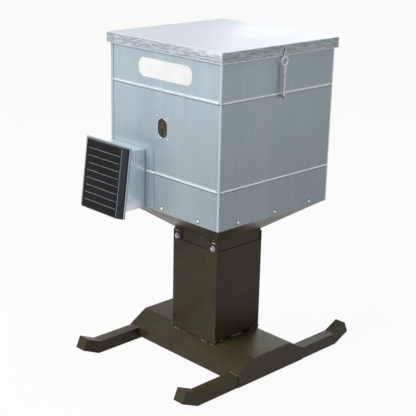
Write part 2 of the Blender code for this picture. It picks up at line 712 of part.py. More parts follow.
def build_latch():
    latch_pivot = pivot("latch_pivot", (LATCH_X, LATCH_Y, LATCH_ANCHOR_HEIGHT), FEEDER)
    build_latch_anchor()
    eye_ring = [(ANCHOR_PIN + FIT, EYE_HALF), (EYE_RADIUS, EYE_HALF), (EYE_RADIUS, -EYE_HALF),
                (ANCHOR_PIN + FIT, -EYE_HALF)]
    eye = turned("latch_spring_eye", eye_ring, latch_pivot, ZINC, sides=20, closed=True)
    eye.rotation_euler = (math.pi / 2, 0, 0)
    spring_bottom = EYE_RADIUS + GAP
    spring_top = RING_HEIGHT - RING_RADIUS - RING_WIRE - GAP - LATCH_ANCHOR_HEIGHT
    inner = SPRING_RADIUS - SPRING_WALL
    coil = [(SPRING_RADIUS, spring_top), (SPRING_RADIUS, spring_bottom), (inner, spring_bottom), (inner, spring_top)]
    turned("latch_spring", coil, latch_pivot, SPRING, sides=16, closed=True)
    pull_pivot = pivot("latch_pull_pivot", (0, 0, RING_HEIGHT - LATCH_ANCHOR_HEIGHT), latch_pivot)
    ring = turned("latch_ring", [(RING_RADIUS + RING_WIRE * math.cos(math.tau * step / 8),
                                  RING_WIRE * math.sin(math.tau * step / 8)) for step in range(8)],
                  pull_pivot, ZINC, sides=28, closed=True)
    ring.rotation_euler = (0, math.pi / 2, 0)
    rise = LATCH_HOLE_HEIGHT - RING_HEIGHT
    reach = LATCH_X - LID_HALF - GAP - FIT
    bar = [(0, RING_RADIUS + RING_WIRE + GAP), (0, rise - 0.002), (-0.0015, rise), (-reach, rise)]
    wire = bpy.data.curves.new("latch_hook", "CURVE")
    wire.dimensions = "3D"
    wire.bevel_depth = HOOK_WIRE
    wire.bevel_resolution = 2
    wire.use_fill_caps = True
    wire.resolution_u = 1
    spline = wire.splines.new("POLY")
    spline.points.add(len(bar) - 1)
    for point, (across, up) in zip(spline.points, bar):
        point.co = (across, 0, up, 1)
    hook = bpy.data.objects.new("latch_hook", wire)
    wire.materials.append(ZINC)
    hook.parent = pull_pivot
    PARTS.objects.link(hook)


# ---------------------------------------------------------------- control box and door

def door_seat():
    """The middle of the box's slanted front edge, on the hinge's side of the box."""
    middle = (BOX_BOTTOM + BOX_TOP) / 2
    depth = BOX_TOP_DEPTH + (BOX_TOP - middle) * SLANT
    return Vector((0, -HOPPER_HALF - depth, middle))


def build_control_box():
    half = HOPPER_HALF
    back = -half - GAP
    top_front = -half - BOX_TOP_DEPTH
    bottom_front = top_front - (BOX_TOP - BOX_BOTTOM) * SLANT
    side_view = [(back, BOX_BOTTOM), (back, BOX_TOP), (top_front, BOX_TOP), (bottom_front, BOX_BOTTOM)]
    shell = outlined("control_box", side_view, "YZ", -half, BOX_RIGHT, FEEDER, GALVANISED)
    room = box("control_box_room", (-half + SHEET, bottom_front - 0.02, BOX_BOTTOM + SHEET),
               (BOX_RIGHT - SHEET, back + 0.02, BOX_TOP - SHEET), FEEDER)
    flange = box("control_box_flange", (BOX_RIGHT - SHEET, back - SHEET, FLANGE_BOTTOM),
                 (FLANGE_RIGHT, back, FLANGE_TOP), FEEDER)
    bottom_clear = box("flange_clear", (BOX_RIGHT - 0.02, back - SHEET * 2, BOX_TOP),
                       (BOX_RIGHT, back + SHEET, FLANGE_TOP + 0.01), FEEDER)
    cut(shell, room)
    join(shell, flange)
    cut(shell, bottom_clear)
    seat = door_seat()
    slant = (-BOX_SLANT, 0, 0)
    axis = Vector((DOOR_HINGE_X, seat.y, seat.z))
    rotate = Matrix.Rotation(-BOX_SLANT, 3, "X")
    outward = rotate @ Vector((0, -1, 0))
    axis -= outward * (HINGE_BARREL - GAP)
    door_pivot = pivot("door_pivot", axis, FEEDER, slant)
    fixed = pivot("door_hinge_seat", axis, FEEDER, slant)
    build_door(door_pivot)
    near = HINGE_BARREL - LEAF_INSET
    box_leaf = ("box_leaf", ((near - LEAF, 0), (near, DOOR_LEAF)))
    door_leaf = ("door_leaf", ((-DOOR_LEAF, -near), (0, LEAF - near)))
    hinge("door_hinge", DOOR_HINGE_LENGTH, 5, (box_leaf, door_leaf), (fixed, door_pivot), Matrix.Identity(4), ZINC)


def build_door(door_pivot):
    """Built about the hinge's axis: X to the right, -Y out of the door, Z up the slant."""
    height = (BOX_TOP - BOX_BOTTOM) / math.cos(BOX_SLANT)
    low = -height / 2 - DOOR_BELOW
    high = height / 2 + DOOR_ABOVE
    left = DOOR_LEFT - DOOR_HINGE_X
    right = DOOR_RIGHT - DOOR_HINGE_X
    back_face = -HINGE_BARREL - GAP
    front_face = back_face - DOOR_SHEET
    door = box("control_box_door", (left, front_face, low), (right, front_face + DOOR_DEPTH, high),
               door_pivot, GALVANISED)
    pocket = box("door_pocket", (left + DOOR_SHEET, back_face, low + DOOR_SHEET),
                 (right - DOOR_SHEET, front_face + DOOR_DEPTH * 2, high - DOOR_SHEET), door_pivot)
    cut(door, pocket)
    panel_back = front_face - GAP
    panel_right = right - PANEL_RIGHT_MARGIN
    panel_left = panel_right - PANEL_WIDTH
    panel_low = low + PANEL_INSET / 4
    panel_high = high - PANEL_INSET
    section = [(panel_left, panel_back), (panel_left, panel_back - PANEL_SIDE_DEPTH),
               (panel_left + PANEL_RAIL, panel_back - PANEL_DEPTH),
               (panel_right - PANEL_RAIL, panel_back - PANEL_DEPTH),
               (panel_right, panel_back - PANEL_SIDE_DEPTH), (panel_right, panel_back)]
    frame = outlined("solar_panel_frame", section, "XY", panel_low, panel_high, door_pivot, BLACK)
    glass_low = (panel_left + PANEL_RAIL + 0.002, panel_back - PANEL_DEPTH, panel_low + PANEL_END_RAIL)
    glass_high = (panel_right - PANEL_RAIL - 0.002, panel_back - PANEL_DEPTH + GLASS, panel_high - PANEL_END_RAIL)
    recess = box("glass_recess", (glass_low[0] - GAP, glass_low[1] - 0.01, glass_low[2] - GAP),
                 (glass_high[0] + GAP, glass_high[1] + GAP, glass_high[2] + GAP), door_pivot)
    cut(frame, recess)
    box("solar_panel_glass", glass_low, glass_high, door_pivot, CELLS)


def build_inside_box():
    back = -HOPPER_HALF - GAP
    left = -HOPPER_HALF + SHEET
    floor = BOX_BOTTOM + SHEET + GAP
    battery_left = left + BATTERY_SIDE_ROOM
    battery_back = back - 0.012
    battery = box("battery", (battery_left, battery_back - BATTERY[1], floor),
                  (battery_left + BATTERY[0], battery_back, floor + BATTERY[2]), FEEDER, BLACK)
    bevel(battery, 0.002)
    for order, label in enumerate(("negative", "positive")):
        centre = battery_left + BATTERY[0] * (0.12 + 0.76 * order)
        top = floor + BATTERY[2] + GAP
        box(f"battery_terminal_{label}", (centre - 0.003, battery_back - 0.016, top),
            (centre + 0.003, battery_back - 0.008, top + 0.007), FEEDER, BRASS)
    strap_low = floor + BATTERY[2] * 0.55
    room = FIT
    path = [(battery_left - room, back), (battery_left - room, battery_back - BATTERY[1] - room),
            (battery_left + BATTERY[0] + room, battery_back - BATTERY[1] - room),
            (battery_left + BATTERY[0] + room, back)]
    outer = [(path[0][0] - SHEET, back), (path[0][0] - SHEET, path[1][1] - SHEET),
             (path[2][0] + SHEET, path[1][1] - SHEET), (path[2][0] + SHEET, back)]
    outlined("battery_strap", path + outer[::-1], "XY", strap_low, strap_low + 0.020, FEEDER, ZINC)
    timer_middle = (left + BOX_RIGHT - SHEET) / 2
    timer_front = back - TIMER[1]
    timer = box("timer_case", (timer_middle - TIMER[0] / 2, timer_front, TIMER_BOTTOM),
                (timer_middle + TIMER[0] / 2, back, TIMER_BOTTOM + TIMER[2]), FEEDER, BLACK)
    screen_low = (timer_middle - 0.030, timer_front, TIMER_BOTTOM + 0.040)
    screen_high = (timer_middle + 0.030, timer_front + 0.0015, TIMER_BOTTOM + 0.064)
    window = box("screen_recess", (screen_low[0] - GAP, screen_low[1] - 0.01, screen_low[2] - GAP),
                 (screen_high[0] + GAP, screen_high[1] + GAP, screen_high[2] + GAP), FEEDER)
    cut(timer, window)
    box("timer_screen", screen_low, screen_high, FEEDER, CLEAR)
    for index in range(BUTTON_COUNT):
        across = timer_middle + BUTTON_PITCH * (index - (BUTTON_COUNT - 1) / 2)
        middle = Vector((across, timer_front, TIMER_BOTTOM + 0.018))
        deep = BUTTON_TRAVEL + 0.003
        well = cylinder(f"button_well_{index + 1}", middle + Vector((0, deep / 2, 0)),
                        BUTTON_RADIUS + FIT, deep, "Y", FEEDER, sides=16)
        cut(timer, well)
        seat = pivot(f"button_pivot_{index + 1}", middle, FEEDER)
        length = BUTTON_PROUD + deep - BUTTON_TRAVEL - GAP
        cylinder(f"timer_button_{index + 1}", (0, length / 2 - BUTTON_PROUD, 0), BUTTON_RADIUS, length, "Y",
                 seat, PAINT, sides=16)
    magnet_top = TIMER_BOTTOM - 0.012
    seat = door_seat()
    front = seat.y + (magnet_top - 0.02 - seat.z) * SLANT + 0.004
    box("door_magnet", (BOX_RIGHT - SHEET - GAP - 0.010, front, magnet_top - 0.030),
        (BOX_RIGHT - SHEET - GAP, front + 0.012, magnet_top), FEEDER, BLACK)


# ---------------------------------------------------------------- motor and spinner

def build_spinner():
    half = COLUMN_INNER - GAP
    top = BRACKET_HEIGHT
    outer = [(-half, top - BRACKET_FLANGE), (-half, top), (half, top), (half, top - BRACKET_FLANGE)]
    inner = [(half - PLATE, top - BRACKET_FLANGE), (half - PLATE, top - PLATE), (PLATE - half, top - PLATE),
             (PLATE - half, top - BRACKET_FLANGE)]
    bracket = outlined("motor_bracket", outer + inner, "XZ", -BRACKET_WIDTH / 2, BRACKET_WIDTH / 2, FEEDER, PAINT)
    boss = 0.006
    hole = cylinder("shaft_hole", (0, 0, top), boss + FIT, 0.02, "Z", FEEDER)
    cut(bracket, hole)
    motor_top = top - PLATE - GAP
    profile = [(0, motor_top + 0.0025), (boss, motor_top + 0.0025), (boss, motor_top), (MOTOR_RADIUS, motor_top),
               (MOTOR_RADIUS, motor_top - MOTOR_LENGTH), (boss, motor_top - MOTOR_LENGTH),
               (boss, motor_top - MOTOR_LENGTH - 0.003), (0, motor_top - MOTOR_LENGTH - 0.003)]
    motor = turned("motor", profile, FEEDER, ZINC, sides=24)
    bore = cylinder("motor_bore", (0, 0, motor_top), SHAFT_RADIUS + FIT, 0.02, "Z", FEEDER, sides=16)
    cut(motor, bore)
    spin = pivot("spinner_pivot", (0, 0, SPINNER_HEIGHT), FEEDER)
    shaft_low = motor_top - 0.010 + GAP - SPINNER_HEIGHT
    cylinder("motor_shaft", (0, 0, (shaft_low - GAP) / 2), SHAFT_RADIUS, -shaft_low - GAP, "Z", spin, ZINC, sides=16)
    disc = [(0, 0.007), (0.010, 0.007), (0.012, SPINNER_SHEET), (SPINNER_RADIUS, SPINNER_SHEET),
            (SPINNER_RADIUS, 0), (0, 0)]
    plate = turned("spinner_plate", disc, spin, GALVANISED, sides=32)
    for index in range(FIN_COUNT):
        fin = box(f"fin_{index}", (FIN_START, -0.001, SPINNER_SHEET / 2),
                  (SPINNER_RADIUS - 0.003, 0.001, SPINNER_SHEET + FIN_HEIGHT), spin)
        fin.data.transform(Matrix.Rotation(math.tau * index / FIN_COUNT, 4, "Z"))
        join(plate, fin)
    steps = 20
    sweep = math.tau - HOUSING_OPEN_ANGLE
    first = math.pi / 2 + HOUSING_OPEN_ANGLE / 2
    angles = [first + sweep * step / steps for step in range(steps + 1)]
    outer = [(HOUSING_RADIUS * math.cos(angle), HOUSING_RADIUS * math.sin(angle)) for angle in angles]
    inside = HOUSING_RADIUS - FUNNEL_WALL
    inner = [(inside * math.cos(angle), inside * math.sin(angle)) for angle in reversed(angles)]
    outlined("spinner_housing", outer + inner, "XY", top + GAP, top + GAP + HOUSING_HEIGHT, FEEDER, GALVANISED)


clear_scene()
PARTS = new_collection("spin_cast_feeder")
CUTTERS = new_collection("cutters")
CUTTERS.hide_render = True

PAINT = material("stand_paint", (0.052, 0.044, 0.030), 0.38, 0.0)
GALVANISED = material("galvanised_sheet", (0.55, 0.60, 0.63), 0.38, 0.9)
ZINC = material("zinc_plate", (0.62, 0.64, 0.66), 0.30, 1.0)
SPRING = material("spring_wire", (0.42, 0.38, 0.38), 0.35, 1.0)
BLACK = material("black_plastic", (0.018, 0.020, 0.026), 0.45, 0.0)
CELLS = material("solar_glass", (0.010, 0.011, 0.014), 0.12, 0.0)
CLEAR = material("clear_pane", (0.28, 0.20, 0.10), 0.10, 0.0)
BRASS = material("brass", (0.60, 0.45, 0.18), 0.35, 1.0)

FEEDER = pivot("feeder", (ORIGIN_SHIFT, 0, 0))

build_skids()
build_base()
build_column()
build_funnel()
build_hopper()
build_lid()
build_latch()
build_control_box()
build_inside_box()
build_spinner()
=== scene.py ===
"""Looks of the spin cast feeder: finishes, welds, rivets, solar cells, label, coil spring, light and camera."""

import json
import math

import bmesh
import bpy
from mathutils import Matrix, Vector, noise

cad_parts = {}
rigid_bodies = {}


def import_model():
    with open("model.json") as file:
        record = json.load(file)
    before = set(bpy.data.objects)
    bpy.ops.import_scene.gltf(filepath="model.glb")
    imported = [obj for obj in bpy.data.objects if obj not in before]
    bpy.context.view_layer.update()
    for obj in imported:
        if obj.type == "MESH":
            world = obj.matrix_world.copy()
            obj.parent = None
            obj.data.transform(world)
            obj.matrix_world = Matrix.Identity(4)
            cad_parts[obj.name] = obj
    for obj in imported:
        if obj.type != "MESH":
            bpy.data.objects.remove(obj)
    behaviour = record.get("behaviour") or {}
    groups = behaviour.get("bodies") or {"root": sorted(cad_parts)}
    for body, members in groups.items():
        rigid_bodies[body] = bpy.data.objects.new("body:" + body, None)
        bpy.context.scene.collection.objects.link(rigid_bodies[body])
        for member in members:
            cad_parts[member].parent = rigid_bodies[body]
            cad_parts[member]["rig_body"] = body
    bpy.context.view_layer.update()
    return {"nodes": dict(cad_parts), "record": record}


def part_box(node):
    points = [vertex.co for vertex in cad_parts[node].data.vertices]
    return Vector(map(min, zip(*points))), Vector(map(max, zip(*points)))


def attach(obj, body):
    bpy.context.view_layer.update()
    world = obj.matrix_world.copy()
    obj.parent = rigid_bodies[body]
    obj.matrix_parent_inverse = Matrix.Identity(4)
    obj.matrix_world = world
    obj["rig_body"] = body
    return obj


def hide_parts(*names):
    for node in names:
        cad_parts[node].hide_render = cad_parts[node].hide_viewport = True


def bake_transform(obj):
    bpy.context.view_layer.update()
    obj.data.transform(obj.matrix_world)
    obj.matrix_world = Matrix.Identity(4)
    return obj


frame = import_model()
NODES = frame["nodes"]
JOINTS = {joint["name"]: joint for joint in frame["record"]["behaviour"]["joints"]}

BEAD_STAND = 0.0035     # height of the rolled beads over the sheet
RIM_HOLE_HEIGHT = 1.301 # latch hole in the lid's rim
HAIR = 0.0002           # between a looks-only piece and the surface it lies on

# Camera, about the column's axis
CAMERA_AZIMUTH = math.radians(45.600)
CAMERA_ELEVATION = math.radians(18.076)
CAMERA_ROLL = math.radians(1.286)
CAMERA_FROM_COLUMN = Vector((2.7761, -2.7767, 1.8978))
CAMERA_LENS = 88.28

column_low, column_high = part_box("column")
wrap_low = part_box("hopper_wrap")[0]
lid_low, lid_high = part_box("lid")
COLUMN_X = (column_low.x + column_high.x) / 2
COLUMN_HALF = (column_high.x - column_low.x) / 2
HOPPER_HALF = 0.3048
HOPPER_BOTTOM = wrap_low.z


# ---------------------------------------------------------------- materials

class Nodes:
    """Short calls for building a node tree."""

    def __init__(self, name):
        self.material = bpy.data.materials.new(name)
        self.material.use_nodes = True
        self.tree = self.material.node_tree
        self.shader = self.tree.nodes["Principled BSDF"]
        self.place = self.tree.nodes.new("ShaderNodeTexCoord").outputs["Object"]

    def add(self, kind, **settings):
        node = self.tree.nodes.new(kind)
        for key, value in settings.items():
            setattr(node, key, value)
        return node

    def link(self, source, target):
        self.tree.links.new(source, target)

    def scaled(self, scale, source=None):
        mapping = self.add("ShaderNodeMapping")
        self.link(source or self.place, mapping.inputs["Vector"])
        mapping.inputs["Scale"].default_value = scale
        return mapping.outputs["Vector"]

    def noise(self, scale, vector=None, detail=4, rough=0.55):
        node = self.add("ShaderNodeTexNoise")
        self.link(vector or self.place, node.inputs["Vector"])
        node.inputs["Scale"].default_value = scale
        node.inputs["Detail"].default_value = detail
        node.inputs["Roughness"].default_value = rough
        return node.outputs["Fac"]

    def cells(self, scale, vector=None, output="Color"):
        node = self.add("ShaderNodeTexVoronoi")
        self.link(vector or self.place, node.inputs["Vector"])
        node.inputs["Scale"].default_value = scale
        return node.outputs[output]

    def ramp(self, source, stops):
        node = self.add("ShaderNodeValToRGB")
        self.link(source, node.inputs["Fac"])
        ramp = node.color_ramp
        ramp.interpolation = "EASE"
        while len(ramp.elements) < len(stops):
            ramp.elements.new(0.5)
        for element, (position, colour) in zip(ramp.elements, stops):
            element.position = position
            element.color = (*colour, 1)
        return node.outputs["Color"]

    def range(self, source, low, high, source_low=0.3, source_high=0.7):
        node = self.add("ShaderNodeMapRange", interpolation_type="SMOOTHSTEP")
        self.link(source, node.inputs["Value"])
        node.inputs["From Min"].default_value = source_low
        node.inputs["From Max"].default_value = source_high
        node.inputs["To Min"].default_value = low
        node.inputs["To Max"].default_value = high
        return node.outputs["Result"]

    def mix(self, factor, first, second, blend="MIX"):
        node = self.add("ShaderNodeMix", data_type="RGBA", blend_type=blend)
        for wanted, value in (("Factor", factor), ("A", first), ("B", second)):
            kind = "VALUE" if wanted == "Factor" else "RGBA"
            target = [item for item in node.inputs if item.name == wanted and item.type == kind][0]
            if isinstance(value, bpy.types.NodeSocket):
                self.link(value, target)
            elif isinstance(value, (int, float)):
                target.default_value = value
            else:
                target.default_value = (*value, 1)
        return [item for item in node.outputs if item.type == "RGBA"][0]

    def grey(self, colour):
        node = self.add("ShaderNodeRGBToBW")
        self.link(colour, node.inputs["Color"])
        return node.outputs["Val"]

    def bump(self, height, strength, distance):
        node = self.add("ShaderNodeBump")
        self.link(height, node.inputs["Height"])
        node.inputs["Strength"].default_value = strength
        node.inputs["Distance"].default_value = distance
        self.link(node.outputs["Normal"], self.shader.inputs["Normal"])

    def set(self, **values):
        for name, value in values.items():
            socket = self.shader.inputs[name.replace("_", " ")]
            if isinstance(value, bpy.types.NodeSocket):
                self.link(value, socket)
            elif isinstance(value, tuple):
                socket.default_value = (*value, 1)
            else:
                socket.default_value = value
        return self.material


# Painted shade: darker colours for the lid's vertical rim than for its lit top.
RIM_SHADE_DARK, RIM_SHADE_LIGHT = (0.24, 0.28, 0.30), (0.50, 0.56, 0.59)


def galvanised(name, dark, light, metallic=0.30, rough=(0.24, 0.38), stretch=(26, 26, 0.9), shade_rim=None,
               flange=None, shade_towards_bottom=None):
    """Zinc-coated sheet: vertical rolling streaks, broad bands, faint spangle and soft cloudy patches; optionally a
    darker rim band and a darker bottom, both painted shade.
    """
    n = Nodes(name)
    streaks = n.noise(3.2, n.scaled(stretch), detail=6, rough=0.60)
    bands = n.noise(0.9, n.scaled(tuple(amount * 0.35 for amount in stretch)), detail=2)
    clouds = n.noise(3.0, n.scaled((1.0, 1.0, 0.6)), detail=3)
    spangle = n.grey(n.cells(110))
    base = n.ramp(bands, [(0.22, dark), (0.78, light)])
    brushed = n.mix(0.36, base, n.ramp(streaks, [(0.25, dark), (0.75, light)]))
    cloudy = n.mix(0.32, brushed, n.ramp(clouds, [(0.22, dark), (0.78, light)]))
    crystal = n.mix(0.07, cloudy, n.ramp(spangle, [(0.1, dark), (0.9, light)]))
    # Painted shade: below the given heights, on the lid's rim, the colour turns to the darker rim colours with fine
    # horizontal streaks.
    if shade_rim:
        split = n.add("ShaderNodeSeparateXYZ")
        n.link(n.place, split.inputs["Vector"])
        top = n.range(split.outputs["Z"], 0, 1, *shade_rim)
        fine = n.noise(4, n.scaled((7, 7, 70)), detail=4)
        crystal = n.mix(top, n.ramp(fine, [(0.35, RIM_SHADE_DARK), (0.65, RIM_SHADE_LIGHT)]), crystal)
    # Painted shade: the colour is multiplied darker towards the hopper's bottom (0.80), and a little lighter under the
    # lid (1.06) as painted light.
    if shade_towards_bottom:
        split = n.add("ShaderNodeSeparateXYZ")
        n.link(n.place, split.inputs["Vector"])
        crystal = n.mix(1, crystal, n.range(split.outputs["Z"], 0.80, 1.06, *shade_towards_bottom), "MULTIPLY")
    if flange:
        split = n.add("ShaderNodeSeparateXYZ")
        n.link(n.place, split.inputs["Vector"])
        crystal = n.mix(n.range(split.outputs["Y"], 0, 1, *flange), crystal,
                        n.ramp(streaks, [(0.25, (0.26, 0.328, 0.362)), (0.75, (0.39, 0.460, 0.500))]))
        metallic = n.range(split.outputs["Y"], metallic, 0.30, *flange)
    return n.set(Base_Color=crystal, Metallic=metallic, Roughness=n.range(clouds, *rough, 0.2, 0.8))


def stand_paint(name="stand_paint_look"):
    """Dark olive-brown powder coat with faint orange peel and lighter, dusty patches."""
    n = Nodes(name)
    patches = n.noise(4.5, detail=5)
    fine = n.noise(60, detail=3)
    base = n.ramp(patches, [(0.30, (0.035, 0.028, 0.013)), (0.72, (0.053, 0.043, 0.021))])
    flecked = n.mix(0.12, base, n.ramp(fine, [(0.35, (0.022, 0.017, 0.008)), (0.70, (0.095, 0.082, 0.052))]))
    n.bump(n.noise(340, detail=2), 0.12, 0.0004)
    return n.set(Base_Color=flecked, Metallic=0.0, Roughness=n.range(patches, 0.30, 0.44),
                 Specular_IOR_Level=0.16)


def weld_metal():
    """Weld beads under thin paint, with bare pale spatter showing."""
    n = Nodes("weld_look")
    spots = n.noise(90, detail=4)
    colour = n.ramp(spots, [(0.40, (0.045, 0.038, 0.028)), (0.55, (0.13, 0.12, 0.10)), (0.68, (0.42, 0.42, 0.40))])
    n.bump(n.noise(220), 0.3, 0.0008)
    return n.set(Base_Color=colour, Metallic=0.2, Roughness=0.45)


def zinc_plate():
    n = Nodes("zinc_look")
    tone = n.noise(45, detail=3)
    colour = n.ramp(tone, [(0.2, (0.45, 0.48, 0.51)), (0.8, (0.51, 0.54, 0.57))])
    return n.set(Base_Color=colour, Metallic=0.70, Roughness=n.range(tone, 0.27, 0.30))


def spring_wire():
    n = Nodes("spring_look")
    tone = n.noise(70, detail=3)
    colour = n.ramp(tone, [(0.3, (0.62, 0.57, 0.575)), (0.7, (0.78, 0.73, 0.735))])
    return n.set(Base_Color=colour, Metallic=0.7, Roughness=n.range(tone, 0.25, 0.40))


def black_rail():
    """Anodised rail of the solar panel and black housings: bluish black with a fine grain."""
    n = Nodes("black_rail_look")
    tone = n.noise(14, n.scaled((1, 1, 0.3)), detail=5)
    colour = n.ramp(tone, [(0.3, (0.008, 0.011, 0.018)), (0.7, (0.022, 0.029, 0.044))])
    n.bump(n.noise(420), 0.10, 0.0003)
    return n.set(Base_Color=colour, Specular_IOR_Level=0.3, Roughness=n.range(tone, 0.30, 0.46))


def solar_glass():
    """Monocrystalline cells below glass: near black, with slight tone steps from cell to cell."""
    n = Nodes("solar_cells_look")
    rows = n.cells(34, n.scaled((0.45, 0.45, 1)))
    grain = n.noise(190, n.scaled((1, 1, 3)), detail=3)
    tone = n.ramp(n.grey(rows), [(0.0, (0.005, 0.005, 0.007)), (1.0, (0.010, 0.011, 0.014))])
    colour = n.mix(0.25, tone, n.ramp(grain, [(0.35, (0.004, 0.004, 0.005)), (0.7, (0.014, 0.015, 0.018))]))
    return n.set(Base_Color=colour, Roughness=n.range(grain, 0.14, 0.22), Specular_IOR_Level=0.10)


def feed_behind_pane():
    """Clear pane with the corn behind it showing brown and gold."""
    n = Nodes("window_pane_look")
    kernels = n.cells(105, n.scaled((1, 1, 1.3)))
    gaps = n.cells(105, n.scaled((1, 1, 1.3)), output="Distance")
    corn = n.ramp(n.grey(kernels), [(0.1, (0.030, 0.020, 0.007)), (0.5, (0.085, 0.058, 0.018)),
                                    (0.95, (0.20, 0.14, 0.045))])
    colour = n.mix(n.range(gaps, 0, 0.85, 0.25, 0.6), corn, (0.010, 0.008, 0.005))
    return n.set(Base_Color=colour, Roughness=0.12, Specular_IOR_Level=0.3)


def screen_glass():
    n = Nodes("screen_look")
    tone = n.noise(120, detail=2)
    colour = n.ramp(tone, [(0.3, (0.20, 0.24, 0.17)), (0.7, (0.27, 0.31, 0.22))])
    return n.set(Base_Color=colour, Roughness=0.15, Coat_Weight=0.5, Coat_Roughness=0.05)


def plain_plastic(name, dark, light, rough, metallic=0.0):
    n = Nodes(name)
    tone = n.noise(22, detail=4)
    n.bump(n.noise(380, detail=2), 0.15, 0.0003)
    return n.set(Base_Color=n.ramp(tone, [(0.3, dark), (0.7, light)]), Roughness=n.range(tone, *rough),
                 Metallic=metallic)


def brass():
    n = Nodes("brass_look")
    tone = n.noise(60)
    colour = n.ramp(tone, [(0.3, (0.45, 0.31, 0.11)), (0.7, (0.68, 0.52, 0.22))])
    return n.set(Base_Color=colour, Metallic=1.0, Roughness=n.range(tone, 0.25, 0.4))


SHEET_LOOK = galvanised("hopper_sheet_look", (0.300, 0.378, 0.418), (0.445, 0.525, 0.572),
                        shade_towards_bottom=(HOPPER_BOTTOM, lid_low.z))
# Painted light: the lid's sheet gets a lighter base than the hopper's, standing in for its top lit from above.
LID_LIT_LOOK = galvanised("lid_sheet_lit_look", (0.44, 0.48, 0.52), (0.52, 0.56, 0.61), 0.30, (0.30, 0.42), (9, 0.8, 9),
                      (lid_high.z - 0.0032, lid_high.z - 0.0022))
BOX_LOOK = galvanised("box_sheet_look", (0.74, 0.82, 0.86), (0.86, 0.92, 0.95), 0.85, (0.24, 0.32),
                      flange=(wrap_low.y - 0.0016, wrap_low.y - 0.0004))
DOOR_LOOK = galvanised("door_sheet_look", (0.42, 0.48, 0.51), (0.56, 0.62, 0.65), 0.40, (0.20, 0.30))
# Painted highlight: a lighter copy of the sheet for folded edges, corners and rims.
EDGE_HIGHLIGHT_LOOK = galvanised("folded_edge_highlight_look", (0.58, 0.64, 0.67), (0.72, 0.78, 0.80), 0.45, (0.20, 0.30))
INSIDE_LOOK = galvanised("spinner_sheet_look", (0.26, 0.30, 0.32), (0.38, 0.42, 0.45), 0.60, (0.25, 0.38))
PAINT_LOOK = stand_paint()
WELD_LOOK = weld_metal()
ZINC_LOOK = zinc_plate()
# Painted highlight: near-white metal for rivet domes, bead crests, the pull ring and weld ends.
RIVET_HIGHLIGHT_LOOK = plain_plastic("rivet_highlight_look", (0.76, 0.80, 0.81), (0.86, 0.90, 0.91), (0.12, 0.18), 0.45)
# Dark grey for the dark lap lines of the seams, and as painted shade for bead creases and painted shadow rings round
# rivets.
SHADE_AND_SEAM_LOOK = plain_plastic("shade_and_seam_look", (0.070, 0.080, 0.085), (0.11, 0.12, 0.13), (0.50, 0.60))
SPRING_LOOK = spring_wire()
RAIL_LOOK = black_rail()
CELL_LOOK = solar_glass()
PANE_LOOK = feed_behind_pane()
SCREEN_LOOK = screen_glass()
BATTERY_LOOK = plain_plastic("battery_case_look", (0.020, 0.021, 0.023), (0.040, 0.041, 0.044), (0.38, 0.52))
BUTTON_LOOK = plain_plastic("button_look", (0.24, 0.25, 0.26), (0.33, 0.34, 0.35), (0.40, 0.50))
LABEL_LOOK = plain_plastic("label_look", (0.76, 0.77, 0.78), (0.80, 0.81, 0.82), (0.32, 0.40))
BUS_LOOK = plain_plastic("cell_line_look", (0.30, 0.31, 0.33), (0.42, 0.43, 0.45), (0.30, 0.40))
BRASS_LOOK = brass()

NODE_LOOKS = {
    "hopper_wrap": SHEET_LOOK, "hopper_left_panel": SHEET_LOOK, "lid": LID_LIT_LOOK, "control_box": BOX_LOOK,
    "control_box_door": DOOR_LOOK, "spinner_plate": INSIDE_LOOK, "spinner_housing": INSIDE_LOOK,
    "latch_spring": SPRING_LOOK, "solar_panel_frame": RAIL_LOOK, "solar_panel_glass": CELL_LOOK,
    "sight_window_pane": PANE_LOOK, "timer_screen": SCREEN_LOOK, "battery": BATTERY_LOOK,
    "timer_case": BATTERY_LOOK, "door_magnet": BATTERY_LOOK,
    "battery_terminal_negative": BRASS_LOOK, "battery_terminal_positive": BRASS_LOOK,
}
SLOT_LOOKS = {"stand_paint": PAINT_LOOK, "zinc_hardware": ZINC_LOOK, "button_plastic": BUTTON_LOOK}
SLOT_OF = {part["node"]: part["material_slot"] for part in frame["record"]["subparts"]}


def dress_nodes():
    for name, node in NODES.items():
        look = NODE_LOOKS.get(name) or SLOT_LOOKS[SLOT_OF[name]]
        node.data.materials.clear()
        node.data.materials.append(look)


# ---------------------------------------------------------------- mesh helpers

def new_piece(name, shape, look, body, smooth=True, angle=40):
    bmesh.ops.recalc_face_normals(shape, faces=shape.faces)
    mesh = bpy.data.meshes.new(name)
    shape.to_mesh(mesh)
    shape.free()
    mesh.materials.append(look)
    if smooth:
        mesh.shade_smooth()
        mesh.set_sharp_from_angle(angle=math.radians(angle))
    piece = bpy.data.objects.new(name, mesh)
    bpy.context.scene.collection.objects.link(piece)
    if body:
        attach(piece, body)
    return piece


def body_of(node):
    return NODES[node]["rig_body"]


def apply_modifiers(piece):
    graph = bpy.context.evaluated_depsgraph_get()
    graph.update()
    mesh = bpy.data.meshes.new_from_object(piece.evaluated_get(graph))
    piece.modifiers.clear()
    piece.data = mesh


def softened(node, width, segments=2):
    """The same piece with its edges rounded, in place of the CAD node."""
    shape = bmesh.new()
    shape.from_mesh(NODES[node].data)
    bmesh.ops.remove_doubles(shape, verts=shape.verts, dist=1e-6)
    bmesh.ops.dissolve_limit(shape, angle_limit=math.radians(1.5), verts=shape.verts, edges=shape.edges)
    piece = new_piece(f"{node}_rounded", shape, NODES[node].data.materials[0], body_of(node))
    rounding = piece.modifiers.new("edges", "BEVEL")
    rounding.width = width
    rounding.segments = segments
    rounding.limit_method = "ANGLE"
    rounding.angle_limit = math.radians(20)
    rounding.harden_normals = True
    apply_modifiers(piece)
    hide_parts(node)
    return piece


